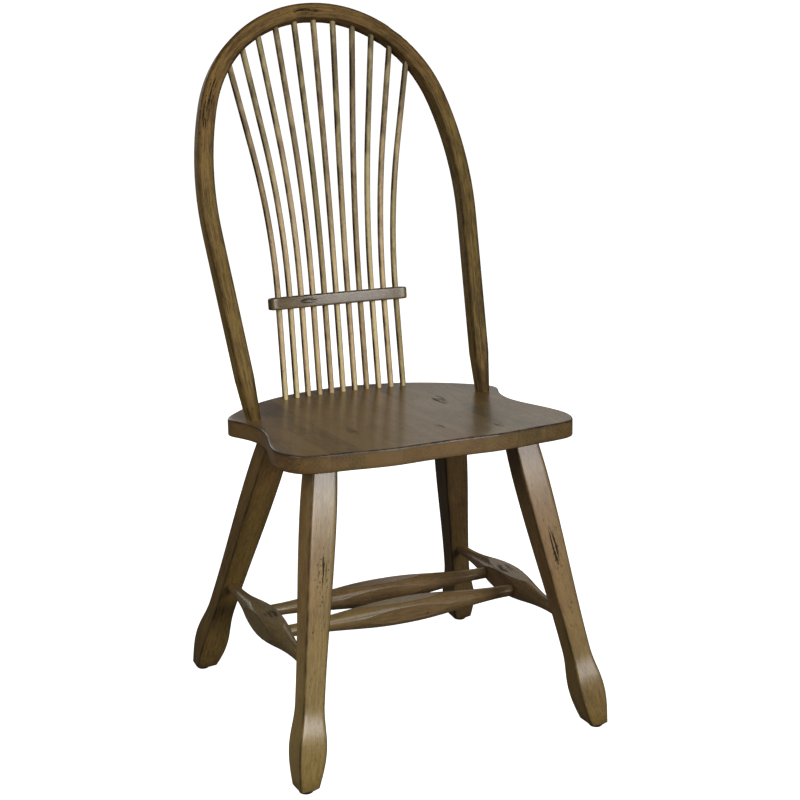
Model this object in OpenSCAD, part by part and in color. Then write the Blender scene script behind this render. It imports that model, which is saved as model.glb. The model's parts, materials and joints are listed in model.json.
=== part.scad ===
// Sheaf back side chair: eight boards glued edge to edge make the seat, four splayed
// square legs and four stretchers carry it, and a bent bow holds a sheaf of eleven
// spindles that a band gathers at its waist. Every joint is a round tenon in a bore.
// Lengths are millimetres. The front of the chair faces -Y, and left is -X.

/* [Seat] */
// Height of the seat's top at its front edge
seat_h = 465.5; // [400:0.5:520]
// Thickness of the seat boards
seat_t = 25.4; // [24:0.2:34]
// Slope of the seat, lower at the back, in degrees
seat_tilt = 2.9; // [0:0.1:5]
// Depth of the seat, from its front lobes to its rear edge
seat_d = 402.5; // [385:0.5:430]
// Width of the seat at its front corners
seat_w = 460; // [440:1:500]
// Width of the seat at its waist, between the legs
waist_w = 408; // [396:1:430]
// Width of the seat across the ears that carry the bow
ear_w = 452; // [436:1:490]
// How far the front edge lies before the middle of the frame
seat_front = 160; // [150:1:170]
// Depth of the hollow in the middle of the front edge
front_hollow = 3.5; // [0:0.5:8]
// Distance of the front lobes from the middle of the seat
lobe_x = 78; // [60:1:95]
// How far the front edge falls back towards its corners
front_fall = 12; // [6:1:18]
// Distance over which a front corner turns
corner_l = 70; // [55:1:85]
// Place of the waist behind the middle of the frame
waist_y = 40; // [28:1:48]
// Distance over which the waist turns, each way
waist_l = 34; // [25:1:40]
// Distance over which an ear turns
ear_l = 42; // [34:1:50]
// Width of the boards at the seat's left and right edges
edge_board_w = 57; // [50:1:66]
// Width of the boards next to them
next_board_w = 49; // [44:1:54]
// How much the right half's seams lie further in than the left half's
seam_shift = 12; // [6:1:16]
// Radius of the seat's rear edge
rear_r = 275; // [255:1:310]
// Depth of the saddling at its middle
dish_d = 4; // [2:0.5:6]
// Radius of the saddling
dish_r = 160; // [130:1:165]
// Rounding of the seat's upper edge
top_ease = 2.8; // [1:0.2:5]
// Rounding of the seat's lower edge
low_ease = 1.6; // [1:0.2:4]

/* [Legs] */
// Square of a leg at its knee, the widest place under the seat
knee_w = 41.4; // [36:0.2:44]
// Square of a leg where it meets the seat
leg_top_w = 37; // [32:0.5:41]
// Square of a leg at its ankle
ankle_w = 33; // [29:0.2:36]
// Square of the swelling above the foot
swell_w = 42; // [37:0.2:44]
// Square of the foot where it stands
toe_w = 27; // [24:0.5:32]
// Chamfer round the bottom of a foot
toe_chamfer = 4.5; // [1:0.5:6]
// Height of the swelling, along the leg
swell_h = 60; // [45:1:75]
// Height of the ankle, along the leg
ankle_h = 120; // [100:1:135]
// Distance of the knee below the seat, along the leg
knee_drop = 80; // [60:1:110]
// Chamfer that softens the arrises of a leg
arris = 2.4; // [1:0.2:4]
// Place of a front leg's socket, out from the middle of the seat
front_socket_x = 158; // [146:1:165]
// Place of a front leg's socket, in from the front edge
front_socket_inset = 83; // [70:1:95]
// Place of a rear leg's socket, out from the middle of the seat
rear_socket_x = 143; // [130:1:150]
// Place of a rear leg's socket, in from the rear edge
rear_socket_inset = 121; // [105:1:130]
// How far a front foot stands outward of its socket
front_splay = 77; // [50:1:95]
// How far a front foot stands forward of its socket
front_rake = 121; // [80:1:135]
// How far a rear foot stands outward of its socket
rear_splay = 92.5; // [60:0.5:110]
// How far a rear foot stands behind its socket
rear_rake = 126; // [80:0.5:140]
// Diameter of the tenon at the top of a leg
leg_tenon_d = 22; // [18:1:26]
// Length of that tenon inside the seat
leg_tenon_l = 17; // [13:1:20]

/* [Stretchers] */
// Height of the side stretchers at the front legs
stretcher_front_h = 161.5; // [145:0.5:200]
// Height of the side stretchers at the rear legs
stretcher_rear_h = 155.5; // [145:0.5:200]
// Square of the side stretchers' blank
side_blank = 34; // [30:0.5:38]
// Turned radius at the middle of a side stretcher
side_belly_r = 23.6; // [20:0.2:26]
// Diameter of the ends of a side stretcher
side_end_d = 17; // [14:0.5:19]
// Square of the cross stretchers' blank
cross_blank = 34; // [30:0.5:38]
// Turned radius at the middle of a cross stretcher
cross_belly_r = 20.6; // [18:0.2:24]
// Diameter of the ends of a cross stretcher
cross_end_d = 18; // [14:0.5:19]
// How far the cross stretchers lie below the middle of the side stretchers
cross_drop = 1.5; // [0:0.1:3]
// How far a stretcher's end goes past the middle of what it enters
stretcher_past = 4; // [2:0.5:6]
// Distance of the front cross stretcher from the front leg, along the side stretcher
cross_front_at = 138; // [110:1:160]
// Distance between the two cross stretchers, along the side stretcher
cross_gap = 85; // [70:1:110]
// Length of a stretcher's straight round end, from the middle of what it enters
stretcher_end_l = 20; // [16:1:26]

/* [Bow] */
// Width of the bow, across its plane
bow_w = 25; // [22:0.5:28]
// Thickness of the bow, through its plane
bow_t = 25; // [22:0.5:28]
// Radius of the bow's long arrises
bow_round = 4; // [2:0.5:6]
// Backward lean of the bow's plane, in degrees
bow_rake = 21.1; // [16:0.1:24]
// Height of the crown's middle line above the seat, along the bow's plane
bow_l = 618; // [560:1:660]
// Radius of the bow's crown
crown_r = 200; // [185:1:212]
// Half of the angle that the crown turns through
crown_turn = 73; // [68:0.5:78]
// Radius of the bow's sides
side_r = 532; // [440:1:620]
// Distance of the bow's feet in from the ears' edges
bow_inset = 34; // [30:0.2:38]
// Distance of the bow's feet before the tips of the ears
bow_before_ear = 13; // [6:1:20]
// Diameter of the bow's round ends, where they enter the seat
bow_end_d = 22; // [18:0.5:23]
// Length of the bow's ends inside the seat
bow_tenon_l = 18; // [14:1:20]
// Length over which the bow's ends are shaved from square to round
bow_shave = 62; // [45:1:120]

/* [Spindles] */
// Diameter of the spindles
spindle_d = 9.5; // [8:0.1:11]
// Distance between spindles at the seat
spindle_pitch = 20.3; // [18:0.1:22]
// Distance of the middle spindle in from the seat's rear edge
spindle_inset = 33.5; // [28:0.5:40]
// Radius of the row of spindles on the seat
spindle_row_r = 590; // [450:5:900]
// Length of the spindles inside the seat
spindle_seat_l = 15; // [12:0.5:18]
// Length of the spindles inside the bow
spindle_bow_l = 10; // [8:0.5:12]
// Angle between the middle spindles round the crown, in degrees
fan_turn = 9.95; // [9:0.05:10.4]
// Share of that angle by which the fan opens further at the outermost spindles
fan_flare = 0.045; // [0:0.005:0.08]
// Share of a spindle above the band that stays straight, up to the bow
bend_rest = 0.35; // [0:0.05:0.6]

/* [Band] */
// Height of the band's middle above the seat, along the middle spindle
band_up = 148; // [120:1:180]
// How far the band's middle lies behind the middle spindle's foot
band_back = 24.2; // [16:0.2:32]
// Distance between spindles at the band
band_pitch = 20.05; // [18:0.05:21]
// Radius of the band's sweep
band_r = 737; // [550:1:1100]
// Height of the band
band_h = 19; // [15:0.5:26]
// Thickness of the band
band_t = 20; // [17:0.5:24]
// How far the band reaches past the outer spindles
band_over = 16; // [11:0.5:22]
// Radius of the band's upright corners
band_round = 4; // [2:0.5:6]

/* [Glides and screws] */
// Diameter of the glide under each foot
glide_d = 20; // [16:0.5:23]
// Thickness of the glide
glide_t = 3; // [2:0.2:4]
// Diameter of the glide's nail
nail_d = 2.4; // [2:0.1:3]
// Length of the glide's nail
nail_l = 16; // [12:1:22]
// Diameter of the screws that hold the bow
screw_d = 4; // [3:0.2:5]
// Length of those screws
screw_l = 22; // [18:1:24]

/* [Fits] */
// Clearance round a tenon in its bore
fit = 0.1; // [0.05:0.05:0.2]
// Room for glue past the end of a tenon
glue_room = 1; // [0.5:0.1:1.5]

/* [Hidden] */
SPINDLES = 11;
BOARDS = 8;
// Segments of a full circle, and of the long arcs of the bow and the band
$fn = 48;
ARC_FN = 180;
// Reach of the blocks that cut, longer than the chair is tall
BIG = 1400;
// Overlap that keeps cuts and joined lengths clear of each other's faces
EPS = 0.5;
// Hair's breadth by which a bent length differs from the straight lengths that run into it
HAIR = 0.02;
OAK = [0.42, 0.32, 0.18];
OAK_DARK = [0.33, 0.25, 0.15];
SEAT_BROWN = [0.35, 0.29, 0.20];
GLIDE_BLACK = [0.10, 0.09, 0.08];
STEEL = [0.62, 0.62, 0.64];

function mix(a, b, t) = a + (b - a) * t;
function unit(v) = v / norm(v);
function reversed(list) = [for (i = [len(list) - 1 : -1 : 0]) list[i]];
function flipped(list) = [for (p = list) [-p.x, p.y]];

// Smooth curve through points, whose first and last only steer its ends
function curve_at(a, b, c, d, t) =
    0.5 * (2 * b + (c - a) * t + (2 * a - 5 * b + 4 * c - d) * t * t
           + (3 * b - a - 3 * c + d) * t * t * t);
function smooth(points, steps) =
    [for (i = [1 : len(points) - 3]) for (k = [0 : steps - 1])
        curve_at(points[i - 1], points[i], points[i + 1], points[i + 2], k / steps)];

// The seat's own plane: x across, y back and z up from the top of its boards
seat_mid_h = seat_h - seat_front * sin(seat_tilt);
rear_y = seat_d - seat_front;
module on_seat() translate([0, 0, seat_mid_h]) rotate([-seat_tilt, 0, 0]) children();
function seat_point(x, y, z) =
    [x, y * cos(seat_tilt) + z * sin(seat_tilt),
     seat_mid_h - y * sin(seat_tilt) + z * cos(seat_tilt)];
function underside_z(y) = seat_mid_h - y * tan(seat_tilt) - seat_t / cos(seat_tilt);

// Right half of the seat's outline, from the middle of its front to its rear arc
corner_x = seat_w / 2;
waist_x = waist_w / 2;
ear_x = ear_w / 2;
ear_end_x = ear_x - 0.57 * ear_l;
rear_turn = asin(ear_end_x / rear_r);
arc_end_y = rear_y - rear_r * (1 - cos(rear_turn));
ear_y = arc_end_y - ear_l;
outline_keys = [
    [-lobe_x / 2, front_hollow * 0.6 - seat_front],
    [0, front_hollow - seat_front],
    [lobe_x / 2, front_hollow * 0.6 - seat_front],
    [lobe_x, -seat_front],
    [mix(lobe_x, corner_x - 0.72 * corner_l, 0.33), 0.25 * front_fall - seat_front],
    [mix(lobe_x, corner_x - 0.72 * corner_l, 0.67), 0.7 * front_fall - seat_front],
    [corner_x - 0.72 * corner_l, front_fall - seat_front],
    [corner_x - 0.3 * corner_l, front_fall + 0.11 * corner_l - seat_front],
    [corner_x - 0.07 * corner_l, 0.6 * corner_l - seat_front],
    [corner_x, corner_l - seat_front],
    [corner_x - 0.06 * corner_l, 1.43 * corner_l - seat_front],
    [mix(waist_x, corner_x, 0.5), mix(waist_y, -seat_front, 0.34)],
    [waist_x + 0.1 * waist_l, waist_y - waist_l],
    [waist_x, waist_y],
    [waist_x + 0.18 * waist_l, waist_y + waist_l],
    [ear_x - 0.155 * ear_l, ear_y - 0.36 * ear_l],
    [ear_x, ear_y],
    [ear_x - 0.12 * ear_l, ear_y + 0.45 * ear_l],
    [ear_end_x, arc_end_y],
    [ear_end_x - 0.45 * ear_l, arc_end_y + 0.43 * ear_l]];
REAR_STEPS = 12;
rear_arc = [for (i = [0 : REAR_STEPS]) let (a = rear_turn * (1 - i / REAR_STEPS))
    [rear_r * sin(a), rear_y - rear_r * (1 - cos(a))]];
half_outline = concat(smooth(outline_keys, 5), rear_arc);
inner_points = [for (i = [1 : len(half_outline) - 2]) half_outline[i]];
seat_outline = concat(half_outline, reversed(flipped(inner_points)));

// Rounding of the seat's edges: rails along the outline cut them to two flats
EASE_FLAT = 1 - sin(45);
function ease_section(r) = [
    [EPS, EPS], [-r, EPS], [-r, 0], [-r * EASE_FLAT, -r * EASE_FLAT], [0, -r], [EPS, -r]];
function outline_at(i) = seat_outline[(i + len(seat_outline)) % len(seat_outline)];
function outline_way(i) = let (d = outline_at(i + 1) - outline_at(i - 1)) unit([d.y, -d.x]);
function near_board(i, left, right) = let (x = outline_at(i).x)
    x > left - rear_r / 10 && x < right + rear_r / 10;
function run_end(i, left, right) = near_board(i + 1, left, right) ? run_end(i + 1, left, right) : i;
module ease_run(r, from, to) {
    section = ease_section(r);
    m = len(section);
    points = [for (i = [from : to]) for (p = section)
        let (q = outline_at(i) + outline_way(i) * p.x) [q.x, q.y, p.y]];
    sides = [for (i = [0 : to - from - 1]) for (k = [0 : m - 1])
        let (a = i * m, b = a + m, l = (k + 1) % m)
        each [[a + k, b + l, b + k], [a + k, a + l, b + l]]];
    last = (to - from) * m;
    polyhedron(points, concat(sides, [[for (k = [m - 1 : -1 : 0]) k]], [[for (k = [0 : m - 1]) last + k]]));
}
module ease_edge(r, left, right) {
    for (i = [0 : len(seat_outline) - 1])
        if (near_board(i, left, right) && !near_board(i - 1, left, right))
            ease_run(r, i, run_end(i, left, right));
}

// Where the boards meet, with the middle seams between two spindles
seams = [-BIG, edge_board_w - corner_x, edge_board_w + next_board_w - corner_x,
         -3.5 * spindle_pitch, -0.5 * spindle_pitch, 2.5 * spindle_pitch,
         corner_x - edge_board_w - next_board_w - seam_shift,
         corner_x - edge_board_w - seam_shift, BIG];

// Saddling: a shallow round hollow, deepest at its middle
dish_y = 20;
DISH_RINGS = 8;
dish_profile = concat(
    [[0, EPS * 8]],
    [for (i = [0 : DISH_RINGS]) let (r = dish_r * i / DISH_RINGS)
        [r, -dish_d * (1 - pow(r / dish_r, 2))]],
    [[dish_r + dish_r * EPS * 8 / (2 * dish_d), EPS * 8]]);

// Ends of a leg's middle line: its foot on the floor and its top at the seat
front_top_y = front_socket_inset - seat_front;
rear_top_y = rear_y - rear_socket_inset;
function leg_top(front, side) = front
    ? [side * front_socket_x, front_top_y, underside_z(front_top_y)]
    : [side * rear_socket_x, rear_top_y, underside_z(rear_top_y)];
function leg_foot(front, side) = front
    ? [side * (front_socket_x + front_splay), front_top_y - front_rake, 0]
    : [side * (rear_socket_x + rear_splay), rear_top_y + rear_rake, 0];
function leg_at(front, side, z) =
    let (a = leg_foot(front, side), b = leg_top(front, side)) a + (b - a) * (z / b.z);

// Half of a leg's square, s along the leg from the floor: foot, swelling, ankle, knee
function ease(t) = (1 - cos(180 * t)) / 2;
function leg_half(s, l) =
    let (knee_s = l - knee_drop)
    s < swell_h ? mix(toe_w, swell_w, sin(90 * s / swell_h)) / 2
    : s < ankle_h ? mix(swell_w, ankle_w, ease((s - swell_h) / (ankle_h - swell_h))) / 2
    : s < knee_s ? mix(ankle_w, knee_w, ease((s - ankle_h) / (knee_s - ankle_h))) / 2
    : mix(knee_w, leg_top_w, pow((s - knee_s) / knee_drop, 2)) / 2;
function steps_from(a, b, n) = [for (i = [0 : n - 1]) mix(a, b, i / n)];
// A leg's blank runs past both of its ends, which are cut to the floor and to the seat
toe_past = toe_w / 4;
top_past = leg_top_w / 3;
function leg_stations(l) = concat(
    steps_from(-toe_past, swell_h, 7), steps_from(swell_h, ankle_h, 8),
    steps_from(ankle_h, l - knee_drop, 9), steps_from(l - knee_drop, l, 4),
    [l, l + top_past]);
function leg_outline(l, grow, less) = let (
    edge = [for (s = leg_stations(l)) [leg_half(s, l) * grow - less, s]])
    concat(edge, reversed(flipped(edge)));

// Places a child whose z runs along a line from a to b, with its sides kept level
module along_leg(a, b) {
    d = b - a;
    translate(a) rotate([-asin(d.y / norm(d)), atan2(d.x, d.z), 0]) children();
}
module along(a, d) {
    translate(a) rotate([0, acos(d.z / norm(d)), atan2(d.y, d.x)]) children();
}
// Places a child with its x and y along two directions that are square to each other
module in_frame(o, x, y) {
    z = cross(x, y);
    multmatrix([[x.x, y.x, z.x, o.x], [x.y, y.y, z.y, o.y], [x.z, y.z, z.z, o.z]])
        children();
}

// The side stretchers run from leg to leg, and the cross stretchers between them
function side_a(side) = leg_at(true, side, stretcher_front_h);
function side_b(side) = leg_at(false, side, stretcher_rear_h);
function side_at(side, l) =
    side_a(side) + unit(side_b(side) - side_a(side)) * l - [0, 0, cross_drop];

// The bow in its own plane: x across and v up from the seat
bow_foot_x = ear_x - bow_inset;
bow_foot_y = ear_y - bow_before_ear;
bow_foot = seat_point(0, bow_foot_y, 0);
crown_v = bow_l - crown_r;
side_cx = (crown_r - side_r) * sin(crown_turn);
side_cv = crown_v + (crown_r - side_r) * cos(crown_turn);
foot_reach = norm([bow_foot_x - side_cx, side_cv]);
side_end = atan2(side_cv, bow_foot_x - side_cx) + asin(side_r / foot_reach);
straight_x = side_cx + side_r * sin(side_end);
straight_v = side_cv + side_r * cos(side_end);
straight_l = norm([straight_x - bow_foot_x, straight_v]);
bow_lean = atan2(straight_x - bow_foot_x, straight_v);
module on_bow() translate(bow_foot) rotate([-bow_rake, 0, 0]) children();
function bow_point(x, v) = bow_foot + [x, v * sin(bow_rake), v * cos(bow_rake)];
// Point and direction of the bow's end where it enters the seat
function bow_end_dir(side) =
    [side * sin(bow_lean), cos(bow_lean) * sin(bow_rake), cos(bow_lean) * cos(bow_rake)];

// Spindles, numbered from the left: foot on the seat, place in the band, top at the bow
spindle_y = rear_y - spindle_inset;
mid_spindle = (SPINDLES + 1) / 2;
function sagitta(x, r) = r - sqrt(r * r - x * x);
function spindle_foot(i) = let (x = (i - mid_spindle) * spindle_pitch)
    seat_point(x, spindle_y - sagitta(x, spindle_row_r), 0);
middle_foot = seat_point(0, spindle_y, 0);
band_dir = unit([0, band_back, sqrt(band_up * band_up - band_back * band_back)]);
band_middle = middle_foot + band_dir * band_up;
band_across = [0, band_dir.z, -band_dir.y];
function spindle_band(i) = let (x = (i - mid_spindle) * band_pitch)
    band_middle + [x, 0, 0] - band_across * sagitta(x, band_r);
function fan_angle(i) = let (n = i - mid_spindle, outer = n / (mid_spindle - 1))
    n * fan_turn * (1 + fan_flare * outer * outer);
function spindle_top(i) = let (a = fan_angle(i), r = crown_r - bow_w / 2)
    bow_point(r * sin(a), crown_v + r * cos(a));

// A spindle runs straight to the band, bends in one sweep and is straight again to the bow.
// The two straight lengths, drawn on, meet where the bend's tangents meet.
function low_dir(i) = unit(spindle_band(i) - spindle_foot(i));
function bend_reach(i) = let (
    t = spindle_top(i) - spindle_band(i), rest = bend_rest * norm(t))
    (t * t - rest * rest) / (2 * (t * low_dir(i) + rest));
function top_dir(i) =
    unit(spindle_top(i) - spindle_band(i) - low_dir(i) * bend_reach(i));
function bend_turn(i) = acos(low_dir(i) * top_dir(i));
function bend_side(i) = unit(top_dir(i) - low_dir(i) * (low_dir(i) * top_dir(i)));
function bend_r(i) = bend_reach(i) / tan(bend_turn(i) / 2);
function rest_l(i) = bend_rest * norm(spindle_top(i) - spindle_band(i));

// Depth of the whole chair, so that it stands over the middle of its own footprint
function lowest_y(front) = let (
    a = leg_foot(front, 1), b = leg_top(front, 1), l = norm(b - a),
    tip = asin((b.y - a.y) / l))
    min([for (s = leg_stations(l)) a.y + s * sin(tip) - leg_half(s, l) * cos(tip)]);
crown_back_y = bow_foot.y + bow_l * sin(bow_rake) + (bow_w / 2 - bow_round) * sin(bow_rake)
    + (bow_t / 2 - bow_round) * cos(bow_rake) + bow_round;
middle_y = (lowest_y(true) + crown_back_y) / 2;
module standing() translate([0, -middle_y, 0]) children();

module leg_bore(front, side) {
    a = leg_foot(front, side);
    b = leg_top(front, side);
    along_leg(a, b) translate([0, 0, norm(b - a) - leg_tenon_d])
        cylinder(d = leg_tenon_d + 2 * fit, h = leg_tenon_d + leg_tenon_l + glue_room);
}

module bow_bore(side) {
    along(seat_point(side * bow_foot_x, bow_foot_y, 0), bow_end_dir(side))
        translate([0, 0, -bow_tenon_l - glue_room])
            cylinder(d = bow_end_d + 2 * fit, h = bow_tenon_l + glue_room + bow_end_d);
}

module spindle_bore(i) {
    along(spindle_foot(i), low_dir(i)) translate([0, 0, -spindle_seat_l - glue_room])
        cylinder(d = spindle_d + 2 * fit, h = spindle_seat_l + glue_room + spindle_d);
}

// Screw driven up through the seat into the end of the bow, its head sunk flush
screw_head_d = 2 * screw_d;
screw_sink = screw_d / 2;
screw_room = 0.15;
screw_slope = acos(bow_end_dir(1) * [0, sin(seat_tilt), cos(seat_tilt)]);
function screw_start(side) = let (
    d = bow_end_dir(side),
    foot = seat_point(side * bow_foot_x, bow_foot_y, 0),
    drop = seat_t / cos(screw_slope))
    foot - d * (drop - screw_head_d * 0.75 * tan(screw_slope));
module screw_shape(side, grow) {
    along(screw_start(side), bow_end_dir(side)) rotate_extrude() polygon([
        [0, -grow], [screw_head_d / 2 + grow, -grow], [screw_d / 2 + grow, screw_sink],
        [screw_d / 2 + grow, screw_l - screw_d], [0, screw_l + grow]]);
}
module screw_way(side) {
    screw_shape(side, screw_room);
    along(screw_start(side), bow_end_dir(side)) mirror([0, 0, 1])
        cylinder(d = screw_head_d + 2 * screw_room, h = screw_head_d);
}

module seat_board(k) {
    color(SEAT_BROWN) standing() difference() {
        on_seat() difference() {
            intersection() {
                translate([0, 0, -seat_t]) linear_extrude(seat_t) polygon(seat_outline);
                translate([seams[k - 1], -BIG / 2, -BIG / 2])
                    cube([seams[k] - seams[k - 1], BIG, BIG]);
            }
            translate([0, dish_y, 0]) rotate_extrude($fn = 96) polygon(dish_profile);
            ease_edge(top_ease, seams[k - 1], seams[k]);
            translate([0, 0, -seat_t]) mirror([0, 0, 1])
                ease_edge(low_ease, seams[k - 1], seams[k]);
        }
        for (i = [1 : SPINDLES]) {
            x = spindle_foot(i).x;
            if (x > seams[k - 1] - spindle_d && x < seams[k] + spindle_d) spindle_bore(i);
        }
        for (side = [-1, 1]) {
            for (front = [true, false]) {
                x = leg_top(front, side).x;
                if (x > seams[k - 1] - leg_tenon_d && x < seams[k] + leg_tenon_d)
                    leg_bore(front, side);
            }
            if (side * bow_foot_x > seams[k - 1] && side * bow_foot_x < seams[k]) {
                bow_bore(side);
                screw_way(side);
            }
        }
    }
}

module leg(front, side) {
    a = leg_foot(front, side);
    b = leg_top(front, side);
    l = norm(b - a);
    wide = 2 * max(swell_w, knee_w);
    color(OAK) standing() difference() {
        union() {
            intersection() {
                along_leg(a, b) intersection() {
                    rotate([90, 0, 0]) linear_extrude(wide, center = true)
                        polygon(leg_outline(l, 1, 0));
                    rotate([90, 0, 90]) linear_extrude(wide, center = true)
                        polygon(leg_outline(l, 1, 0));
                    rotate([90, 0, 45]) linear_extrude(wide, center = true)
                        polygon(leg_outline(l, sqrt(2), arris / sqrt(2)));
                    rotate([90, 0, 135]) linear_extrude(wide, center = true)
                        polygon(leg_outline(l, sqrt(2), arris / sqrt(2)));
                }
                rotate([90, 0, 90]) linear_extrude(BIG, center = true) polygon([
                    [-BIG, glide_t], [BIG, glide_t],
                    [BIG, underside_z(BIG)], [-BIG, underside_z(-BIG)]]);
                for (turn = [0, 90]) toe_wedge(front, side, turn);
            }
            along_leg(a, b) translate([0, 0, l - leg_tenon_d])
                cylinder(d = leg_tenon_d, h = leg_tenon_d + leg_tenon_l);
        }
        if (front) stretcher_bore(side_a(side), side_b(side), side_end_d);
        else stretcher_bore(side_b(side), side_a(side), side_end_d);
        nail_bore(front, side);
    }
}

// Upright wedge that opens above a foot and chamfers two of its bottom edges
module toe_wedge(front, side, turn) {
    half = toe_w / 2 - toe_chamfer - EPS;
    translate(leg_at(front, side, glide_t - EPS)) rotate([90, 0, turn])
        linear_extrude(BIG, center = true)
            polygon([[-half, 0], [half, 0], [half + BIG, BIG], [-half - BIG, BIG]]);
}

// Bore for a stretcher's end that enters at a and comes from b
module stretcher_bore(a, b, d) {
    past = stretcher_past + glue_room;
    along(a, b - a) translate([0, 0, -past])
        cylinder(d = d + 2 * fit, h = past + knee_w);
}

// A square blank whose ends are turned: flats show where the turning misses the blank
STRETCHER_STEPS = 9;
side_fullness = 1.5;
cross_fullness = 1;
module stretcher(a, b, blank, belly_r, end_d, fullness) {
    l = norm(b - a);
    rings = [for (i = [0 : STRETCHER_STEPS]) let (t = i / STRETCHER_STEPS)
        [mix(end_d / 2, belly_r, pow(ease(t), fullness)), mix(stretcher_end_l, l / 2, t)]];
    half = [for (i = [0 : STRETCHER_STEPS - 1]) rings[i]];
    far = [for (p = reversed(half)) [p.x, l - p.y]];
    along(a, b - a) intersection() {
        rotate_extrude() polygon(concat(
            [[0, -stretcher_past], [end_d / 2, -stretcher_past]], half,
            [rings[STRETCHER_STEPS]], far,
            [[end_d / 2, l + stretcher_past], [0, l + stretcher_past]]));
        translate([-blank / 2, -blank / 2, -l / 2]) cube([blank, blank, 2 * l]);
    }
}

module side_stretcher(side) {
    color(OAK_DARK) standing() difference() {
        stretcher(side_a(side), side_b(side), side_blank, side_belly_r, side_end_d,
                  side_fullness);
        for (l = [cross_front_at, cross_front_at + cross_gap])
            stretcher_bore(side_at(side, l), side_at(-side, l), cross_end_d);
    }
}

module cross_stretcher(l) {
    color(OAK) standing()
        stretcher(side_at(-1, l), side_at(1, l), cross_blank, cross_belly_r, cross_end_d,
                  cross_fullness);
}

// Rounded square of the bow, drawn about its middle
module bow_section(less = 0) {
    w = bow_w / 2 - bow_round;
    t = bow_t / 2 - bow_round;
    round_r = bow_round - less;
    square([2 * (w + round_r), 2 * t], center = true);
    square([2 * w, 2 * (t + round_r)], center = true);
    for (x = [-w, w]) for (y = [-t, t]) translate([x, y]) circle(round_r);
}

// Arc of the bow in its plane, between two angles measured from upright
module bow_arc(cx, cv, r, from, to, less = 0) {
    translate([cx, 0, cv]) rotate([90, 0, 0]) rotate([0, 0, 90 - to])
        rotate_extrude(angle = to - from, $fn = ARC_FN)
            translate([r, 0]) bow_section(less);
}

module bow_side(side) {
    corner = norm([bow_w / 2 - bow_round, bow_t / 2 - bow_round]) + bow_round + fit;
    lap = asin(EPS / side_r);
    mirror([side < 0 ? 1 : 0, 0, 0]) {
        bow_arc(side_cx, side_cv, side_r, crown_turn - lap, side_end + lap, HAIR);
        translate([bow_foot_x, 0, 0]) rotate([0, bow_lean, 0]) intersection() {
            translate([0, 0, -bow_tenon_l]) linear_extrude(bow_tenon_l + straight_l)
                bow_section();
            rotate_extrude() polygon([
                [0, -bow_tenon_l], [bow_end_d / 2, -bow_tenon_l], [bow_end_d / 2, 0],
                [corner, bow_shave], [corner, BIG], [0, BIG]]);
        }
    }
}

module bow() {
    color(OAK) standing() difference() {
        on_bow() {
            bow_arc(0, crown_v, crown_r, -crown_turn, crown_turn);
            bow_side(-1);
            bow_side(1);
        }
        for (i = [1 : SPINDLES])
            along(spindle_top(i), top_dir(i)) translate([0, 0, -bow_w])
                cylinder(d = spindle_d + 2 * fit, h = bow_w + spindle_bow_l + glue_room);
        for (side = [-1, 1]) screw_shape(side, screw_room);
    }
}

module spindle(i) {
    foot = spindle_foot(i);
    waist = spindle_band(i);
    r = bend_r(i);
    color(OAK) standing() {
        along(foot, low_dir(i)) translate([0, 0, -spindle_seat_l])
            cylinder(d = spindle_d, h = spindle_seat_l + norm(waist - foot) + EPS);
        in_frame(waist + bend_side(i) * r, -bend_side(i), low_dir(i))
            rotate_extrude(angle = bend_turn(i), $fn = ARC_FN)
                translate([r, 0]) circle(d = spindle_d + 2 * HAIR);
        along(spindle_top(i), top_dir(i)) translate([0, 0, -rest_l(i) - EPS])
            cylinder(d = spindle_d, h = EPS + rest_l(i) + spindle_bow_l);
    }
}

// The band sweeps with the row of spindles, and each spindle passes through it
module band() {
    half_w = band_pitch * (SPINDLES - 1) / 2 + band_over;
    inner_w = half_w - band_round;
    end_y = -sagitta(inner_w, band_r);
    corner_y = band_t / 2 - band_round;
    color(OAK) standing() difference() {
        in_frame(band_middle - band_dir * (band_h / 2), [1, 0, 0], band_across)
            linear_extrude(band_h) {
                intersection() {
                    translate([0, -band_r]) difference() {
                        circle(band_r + band_t / 2, $fn = ARC_FN * 4);
                        circle(band_r - band_t / 2, $fn = ARC_FN * 4);
                    }
                    translate([-inner_w, -band_r / 2]) square([2 * inner_w, band_r]);
                }
                for (side = [-1, 1]) translate([side * inner_w, end_y]) {
                    translate([side * band_round / 2, 0])
                        square([band_round, 2 * corner_y], center = true);
                    for (y = [-corner_y, corner_y]) translate([0, y]) circle(band_round);
                }
            }
        for (i = [1 : SPINDLES])
            along(spindle_band(i) - low_dir(i) * band_h, low_dir(i))
                cylinder(d = spindle_d + 2 * fit, h = 2 * band_h);
    }
}

// A glide is a shallow disc with a softened lower edge, nailed up into the foot
glide_edge = 0.8;
function glide_place(front, side) = leg_at(front, side, glide_t) - [0, 0, glide_t];
module glide(front, side) {
    color(GLIDE_BLACK) standing() translate(glide_place(front, side)) difference() {
        rotate_extrude() polygon([
            [0, 0], [glide_d / 2 - glide_edge, 0], [glide_d / 2, glide_edge],
            [glide_d / 2, glide_t], [0, glide_t]]);
        nail_shape(fit);
    }
}

module nail_shape(grow) {
    head_d = 3 * nail_d;
    head_z = 1;
    translate([0, 0, head_z]) cylinder(d = head_d + 2 * grow, h = glide_t / 4 + grow);
    translate([0, 0, head_z]) cylinder(d = nail_d + 2 * grow, h = nail_l + grow);
    if (grow > 0) translate([0, 0, -EPS]) cylinder(d = head_d + 2 * grow, h = head_z + 2 * EPS);
}

module nail_bore(front, side) {
    translate(glide_place(front, side)) translate([0, 0, glide_t - EPS])
        cylinder(d = nail_d + 2 * fit, h = nail_l - glide_t + 2 * EPS + glue_room);
}

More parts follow.
